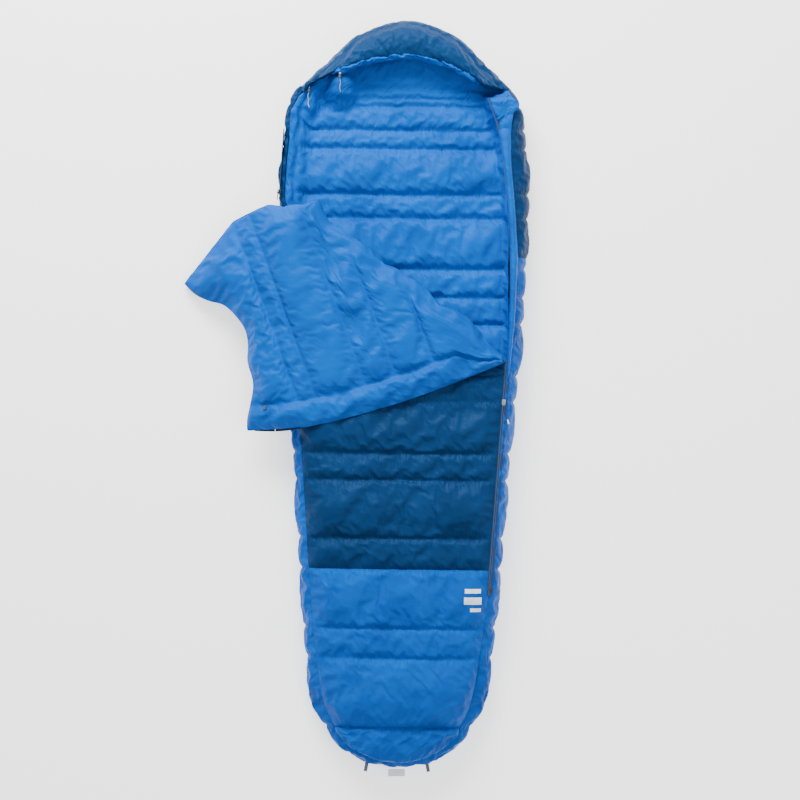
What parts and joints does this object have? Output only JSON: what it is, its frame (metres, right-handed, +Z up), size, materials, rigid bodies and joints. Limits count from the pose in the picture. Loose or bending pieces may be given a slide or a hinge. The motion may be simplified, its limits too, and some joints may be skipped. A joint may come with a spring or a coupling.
{
  "type": "mummy sleeping bag",
  "caption": "Down mummy sleeping bag laid flat, with a hood, a side zip and its top panel folded open, and a padded collar, cord locks and hang loops.",
  "frame": {"origin": "middle of the underside, half way between the foot end and the hood's end", "axes": "+Y towards the hood, +X towards the main zip, +Z up from the ground"},
  "size_m": [0.9179, 2.0743, 0.1399],
  "materials": {
    "shell_navy": "navy ripstop nylon taffeta with a satin sheen",
    "shell_blue": "bright blue nylon taffeta with a satin sheen",
    "lining_blue": "bright blue soft nylon lining with a satin sheen",
    "down_fill": "white down clusters",
    "baffle_mesh": "light mesh baffle wall",
    "zip_tape": "dark navy woven zip tape",
    "zip_coil": "dark nylon coil",
    "slider_grey": "silver painted zinc slider",
    "slider_black": "black painted zinc slider",
    "pull_plastic": "black moulded pull tab",
    "pull_cord": "dark braided pull cord",
    "pull_tip": "light grey moulded cord end",
    "drawcord": "grey elastic drawcord",
    "lock_plastic": "dark moulded cord lock",
    "lock_button": "light moulded cord lock button",
    "spring_steel": "steel wire spring",
    "webbing_grey": "grey woven webbing",
    "label_white": "plain white woven label",
    "snap_metal": "brown lacquered press stud"
  },
  "bodies": {
    "bag": {"back_shell": "shell_blue", "back_down": "down_fill", "back_baffles": "baffle_mesh", "back_lining": "lining_blue", "back_collar": "lining_blue", "right_side_wall": "shell_blue", "left_side_wall": "shell_blue", "right_shoulder_shell": "shell_navy", "right_side_shell": "shell_blue", "left_side_shell": "shell_blue", "side_lining": "lining_blue", "side_down": "down_fill", "draft_tube": "lining_blue", "top_lining": "lining_blue", "top_down": "down_fill", "top_baffles": "baffle_mesh", "top_torso_shell": "shell_navy", "top_foot_shell": "shell_blue", "snap_socket": "snap_metal", "zip_tapes": "zip_tape", "zip_coils": "zip_coil", "arm_zip_half": "zip_tape", "collar_lock_barrel": "lock_plastic", "collar_lock_spring": "spring_steel", "collar_cord_tail": "drawcord", "hang_loops": "webbing_grey", "care_label": "label_white"},
    "hood": {"hood_back_shell": "shell_navy", "hood_back_down": "down_fill", "hood_back_lining": "lining_blue", "hood_brow_lining": "lining_blue", "hood_brow_down": "down_fill", "hood_brow_shell": "shell_navy", "hood_hem": "lining_blue", "hood_drawcord": "drawcord", "hood_lock_barrel": "lock_plastic", "hood_lock_spring": "spring_steel", "hood_cord_tail": "drawcord"},
    "flap": {"flap_lining": "lining_blue", "flap_down": "down_fill", "flap_baffles": "baffle_mesh", "flap_shell": "shell_navy", "flap_zip_half": "zip_tape"},
    "flap_wing": {"wing_lining": "lining_blue", "wing_down": "down_fill", "wing_baffles": "baffle_mesh", "wing_shell": "shell_navy", "wing_collar": "lining_blue", "wing_zip_half": "zip_tape", "snap_stud": "snap_metal"},
    "main_slider": {"main_slider": "slider_grey"},
    "main_pull": {"main_pull_yoke": "slider_grey", "main_pull_cord": "pull_cord", "main_pull_tip": "pull_tip"},
    "lower_slider": {"lower_slider": "slider_black"},
    "lower_pull": {"lower_pull": "pull_plastic"},
    "arm_slider": {"arm_slider": "slider_black"},
    "arm_pull": {"arm_pull": "pull_plastic"},
    "collar_button": {"collar_lock_button": "lock_button"},
    "hood_button": {"hood_lock_button": "lock_button"}
  },
  "joints": [
    {"name": "flap_fold", "type": "hinge", "parent": "bag", "child": "flap", "pos_m": [0.2807, 0.0993, 0.107], "axis": [-0.8237, 0.567, 0], "range_deg": [0, 180]},
    {"name": "wing_lift", "type": "hinge", "parent": "flap", "child": "flap_wing", "pos_m": [-0.346, 0.2, 0.1075], "axis": [0, 1, 0], "range_deg": [0, 20]},
    {"name": "hood_fold", "type": "hinge", "parent": "bag", "child": "hood", "pos_m": [0, 0.846, 0.025], "axis": [1, 0, 0], "range_deg": [0, 20]},
    {"name": "main_zip_slide", "type": "slide", "parent": "bag", "child": "main_slider", "axis": [-0.0661, -0.9978, 0], "range_m": [0, 0.3]},
    {"name": "main_pull_swing", "type": "hinge", "parent": "main_slider", "child": "main_pull", "pos_m": [0.27788, -0.013, 0.1099], "axis": [-0.9978, 0.0661, 0], "range_deg": [0, 150]},
    {"name": "lower_zip_slide", "type": "slide", "parent": "bag", "child": "lower_slider", "axis": [0.0661, 0.9978, 0], "range_m": [0, 0.1]},
    {"name": "lower_pull_swing", "type": "hinge", "parent": "lower_slider", "child": "lower_pull", "pos_m": [0.24429, -0.52, 0.1099], "axis": [-0.9978, 0.0661, 0], "range_deg": [0, 150]},
    {"name": "arm_zip_slide", "type": "slide", "parent": "bag", "child": "arm_slider", "axis": [0.0549, 0.9985, 0], "range_m": [0, 0.16]},
    {"name": "arm_pull_swing", "type": "hinge", "parent": "arm_slider", "child": "arm_pull", "pos_m": [-0.34725, 0.55623, 0.082], "axis": [0, 0, -1], "range_deg": [0, 120]},
    {"name": "collar_button_press", "type": "slide", "parent": "bag", "child": "collar_button", "axis": [0, -1, 0], "range_m": [0, 0.003], "stiffness_N_per_m": 400, "springref_m": -0.002, "deforming": ["collar_lock_spring"]},
    {"name": "hood_button_press", "type": "slide", "parent": "hood", "child": "hood_button", "axis": [0, -1, 0], "range_m": [0, 0.003], "stiffness_N_per_m": 400, "springref_m": -0.002, "deforming": ["hood_lock_spring"]}
  ]
}
